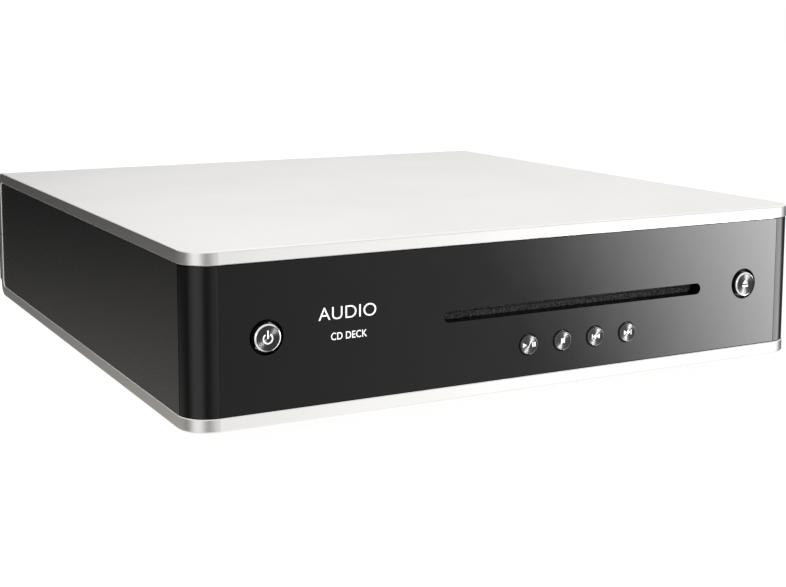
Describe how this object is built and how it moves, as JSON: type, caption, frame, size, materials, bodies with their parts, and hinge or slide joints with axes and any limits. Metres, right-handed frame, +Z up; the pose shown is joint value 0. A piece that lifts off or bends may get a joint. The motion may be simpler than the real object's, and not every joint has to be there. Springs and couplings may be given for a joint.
{
  "type": "compact disc player",
  "caption": "Slot-loading compact disc player: silver C-section case, glossy black front with a disc slot, turned metal buttons and rear audio sockets.",
  "frame": {"origin": "middle of the bounding box's underside, on the surface that the feet stand on", "axes": "+Z up, -Y out of the front with the slot and buttons, +X to the right of someone who faces the front"},
  "size_m": [0.28, 0.303, 0.0725],
  "materials": {
    "black_plastic": "moulded",
    "bright_steel": "polished",
    "silver_shell": "satin silver-white paint",
    "white_plastic": "natural acetal",
    "steel": "zinc plated",
    "turned_aluminium": "turned face, bright",
    "rubber": "matte",
    "green_board": "solder mask",
    "black_moulding": "semi-gloss black",
    "black_glass": "polished black acrylic",
    "lens_glass": "coated lens",
    "capacitor_sleeve": "shrink sleeve",
    "orange_plastic": "moulded",
    "red_plastic": "moulded",
    "plated_contact": "nickel plated",
    "black_panel": "satin black paint",
    "black_screw": "black oxide",
    "cable": "flat white cable",
    "felt": "black felt",
    "copper_and_iron": "varnished laminations and winding"
  },
  "bodies": {
    "case": {"ac_inlet": "black_plastic", "ac_inlet_pins": "bright_steel", "analog_jack_housing": "black_plastic", "bottom_cover": "silver_shell", "cable_connectors": "white_plastic", "chassis_screws": "steel", "chassis_tray": "steel", "coax_jack_housing": "black_plastic", "disc_guide": "black_plastic", "feet": "rubber", "foot_screws": "steel", "front_board": "green_board", "front_fascia": "black_moulding", "front_glass": "black_glass", "ir_receiver": "black_plastic", "loader_base": "steel", "loader_dampers": "rubber", "loader_pins": "bright_steel", "loader_top_plate": "steel", "loading_motor": "bright_steel", "main_board": "green_board", "main_board_parts": "black_plastic", "power_board": "green_board", "power_capacitors": "capacitor_sleeve", "rca_insulator_orange": "orange_plastic", "rca_insulator_red": "red_plastic", "rca_insulator_white": "white_plastic", "rca_sleeves": "plated_contact", "rear_panel": "black_panel", "rear_panel_screws": "black_screw", "ribbon_cable": "cable", "roller_bushes": "white_plastic", "side_panel_left": "black_panel", "side_panel_right": "black_panel", "slot_seals": "felt", "tact_switches": "black_plastic", "top_cover": "silver_shell", "transformer": "copper_and_iron"},
    "power_button": {"power_button": "turned_aluminium"},
    "play_pause_button": {"play_pause_button": "turned_aluminium"},
    "stop_button": {"stop_button": "turned_aluminium"},
    "previous_button": {"previous_button": "turned_aluminium"},
    "next_button": {"next_button": "turned_aluminium"},
    "eject_button": {"eject_button": "turned_aluminium"},
    "feed_roller": {"feed_roller_shaft": "bright_steel", "feed_roller_rubber": "rubber", "feed_roller_gear": "white_plastic"},
    "idler": {"idler_gear": "white_plastic"},
    "pinion": {"motor_pinion": "white_plastic"},
    "cam": {"cam_slider": "white_plastic"},
    "deck": {"traverse_deck": "black_plastic", "spindle_motor": "bright_steel", "guide_rods": "bright_steel", "sled_motor": "bright_steel"},
    "turntable": {"turntable": "black_plastic"},
    "lead_screw": {"lead_screw": "bright_steel"},
    "sled": {"pickup_sled": "black_plastic"},
    "lens": {"lens_holder": "black_plastic", "objective_lens": "lens_glass"},
    "clamper": {"clamper": "black_plastic"}
  },
  "joints": [
    {"name": "power_press", "type": "slide", "parent": "case", "child": "power_button", "axis": [0, 1, 0], "range_m": [0, 0.001], "stiffness_N_per_m": 600},
    {"name": "play_pause_press", "type": "slide", "parent": "case", "child": "play_pause_button", "axis": [0, 1, 0], "range_m": [0, 0.0008], "stiffness_N_per_m": 600},
    {"name": "stop_press", "type": "slide", "parent": "case", "child": "stop_button", "axis": [0, 1, 0], "range_m": [0, 0.0008], "stiffness_N_per_m": 600},
    {"name": "previous_press", "type": "slide", "parent": "case", "child": "previous_button", "axis": [0, 1, 0], "range_m": [0, 0.0008], "stiffness_N_per_m": 600},
    {"name": "next_press", "type": "slide", "parent": "case", "child": "next_button", "axis": [0, 1, 0], "range_m": [0, 0.0008], "stiffness_N_per_m": 600},
    {"name": "eject_press", "type": "slide", "parent": "case", "child": "eject_button", "axis": [0, 1, 0], "range_m": [0, 0.001], "stiffness_N_per_m": 600},
    {"name": "feed_roller_spin", "type": "hinge", "parent": "case", "child": "feed_roller", "pos_m": [0.0246, -0.12045, 0.035], "axis": [1, 0, 0], "continuous": true},
    {"name": "idler_spin", "type": "hinge", "parent": "case", "child": "idler", "pos_m": [0.0976, -0.10245, 0.035], "axis": [1, 0, 0], "continuous": true},
    {"name": "motor_pinion_spin", "type": "hinge", "parent": "case", "child": "pinion", "pos_m": [0.0976, -0.08685, 0.035], "axis": [1, 0, 0], "continuous": true},
    {"name": "deck_lift", "type": "hinge", "parent": "case", "child": "deck", "pos_m": [0.0246, 0.01755, 0.028], "axis": [-1, 0, 0], "range_deg": [0, 3.58]},
    {"name": "cam_travel", "type": "slide", "parent": "case", "child": "cam", "axis": [-1, 0, 0], "range_m": [-0.0001, 0.0151]},
    {"name": "turntable_spin", "type": "hinge", "parent": "deck", "child": "turntable", "pos_m": [0.0246, -0.06279, 0.03098], "axis": [0, -0.0625, 0.998], "continuous": true},
    {"name": "sled_travel", "type": "slide", "parent": "deck", "child": "sled", "axis": [0, 0.998, 0.0625], "range_m": [0, 0.034]},
    {"name": "lead_screw_spin", "type": "hinge", "parent": "deck", "child": "lead_screw", "pos_m": [0.0576, -0.01511, 0.02155], "axis": [0, 0.998, 0.0625], "range_deg": [-5, 4100]},
    {"name": "lens_focus", "type": "slide", "parent": "sled", "child": "lens", "axis": [0, -0.0625, 0.998], "range_m": [-0.0004, 0.0004], "stiffness_N_per_m": 200},
    {"name": "clamper_spin", "type": "hinge", "parent": "case", "child": "clamper", "pos_m": [0.0246, -0.06245, 0.0486], "axis": [0, 0, 1], "continuous": true}
  ],
  "couplings": [
    {"joint": "idler_spin", "follows": "feed_roller_spin", "ratio": -0.66667},
    {"joint": "motor_pinion_spin", "follows": "feed_roller_spin", "ratio": 1.5},
    {"joint": "cam_travel", "follows": "deck_lift", "m_per_rad": 0.23984},
    {"joint": "lead_screw_spin", "follows": "sled_travel", "rad_per_m": 2094.4}
  ]
}
